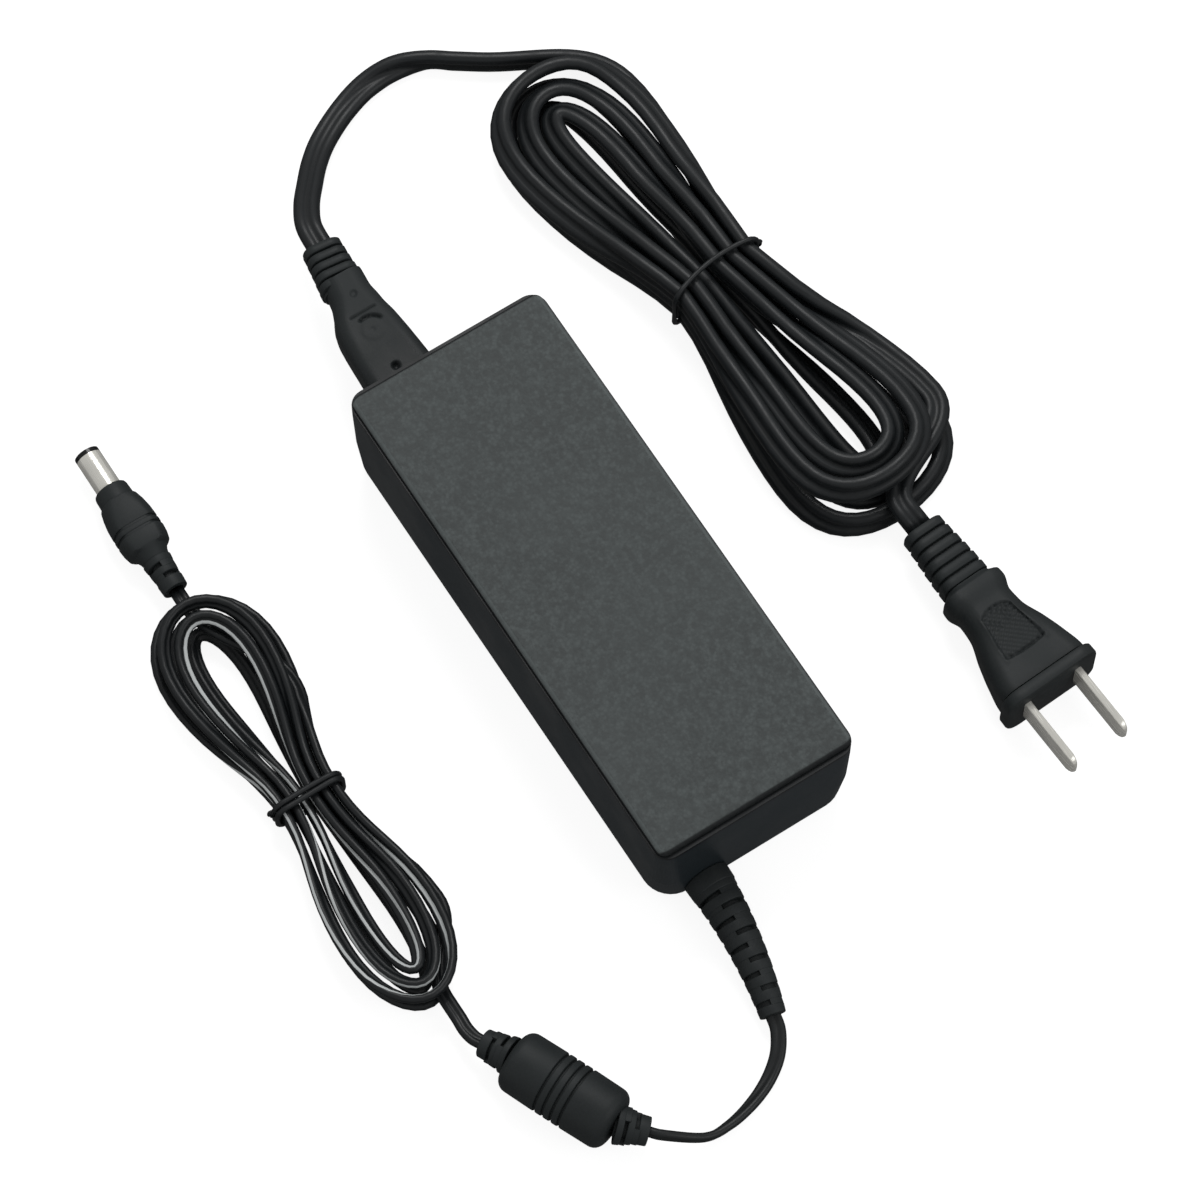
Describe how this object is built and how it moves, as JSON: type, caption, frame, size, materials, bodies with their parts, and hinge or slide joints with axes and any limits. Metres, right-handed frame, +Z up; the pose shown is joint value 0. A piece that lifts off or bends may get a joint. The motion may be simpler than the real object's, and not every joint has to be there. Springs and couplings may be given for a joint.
{
  "type": "laptop power adapter",
  "caption": "Laptop power adapter: a rounded brick with a plug-in flat mains cord and a fixed output cord with choke and barrel plug, each cord tied in a hank.",
  "frame": {"origin": "centre of the brick's bottom face", "axes": "+X along the brick from its mains inlet end to its output end, +Y towards the mains cord's hank, +Z up"},
  "size_m": [0.2368, 0.1693, 0.03],
  "materials": {
    "shell_black": "satin",
    "lid_grey": "fine leather grain",
    "cord_rubber": "satin",
    "plug_rubber": "matt",
    "tie_black": "matt",
    "plated_metal": "nickel plated",
    "insulator_black": "gloss",
    "copper": "tinned or enamelled",
    "board_green": "satin",
    "glass_fuse": "clear",
    "film_yellow": "gloss",
    "component_black": "satin",
    "aluminium": "satin",
    "ferrite": "matt",
    "tape_yellow": "satin",
    "ceramic_blue": "gloss",
    "card": "matt"
  },
  "bodies": {
    "adapter": {"lower_shell": "shell_black", "upper_shell": "lid_grey", "ac_inlet_housing": "shell_black", "inlet_pins": "plated_metal", "ac_lead_wires": "copper", "circuit_board": "board_green", "fuse": "glass_fuse", "x_capacitor": "film_yellow", "common_mode_choke": "copper", "bridge_rectifier": "component_black", "bulk_capacitor": "component_black", "primary_heat_sink": "aluminium", "switching_transistor": "component_black", "transformer_core": "ferrite", "transformer_winding": "tape_yellow", "y_capacitor": "ceramic_blue", "optocoupler": "component_black", "secondary_heat_sink": "aluminium", "output_rectifier": "component_black", "output_capacitors": "component_black", "insulating_sheet": "card", "dc_lead_wires": "copper", "dc_strain_relief": "plug_rubber", "dc_cord": "cord_rubber", "choke_housing": "plug_rubber", "ferrite_core": "ferrite", "dc_cord_in_choke": "cord_rubber", "dc_cord_to_hank": "cord_rubber", "dc_hank": "cord_rubber", "dc_tie": "tie_black", "dc_plug_handle": "plug_rubber", "barrel_sleeve": "plated_metal", "barrel_insulator": "insulator_black", "barrel_inner_contact": "plated_metal"},
    "mains_cord_set": {"ac_connector": "plug_rubber", "connector_contacts": "plated_metal", "ac_cord": "cord_rubber", "ac_hank": "cord_rubber", "ac_tie": "tie_black", "ac_plug": "plug_rubber", "blade_left": "plated_metal", "blade_right": "plated_metal"}
  },
  "joints": [
    {"name": "mains_cord_unplug", "type": "slide", "parent": "adapter", "child": "mains_cord_set", "axis": [-1, 0, 0], "range_m": [0, 0.02]}
  ]
}
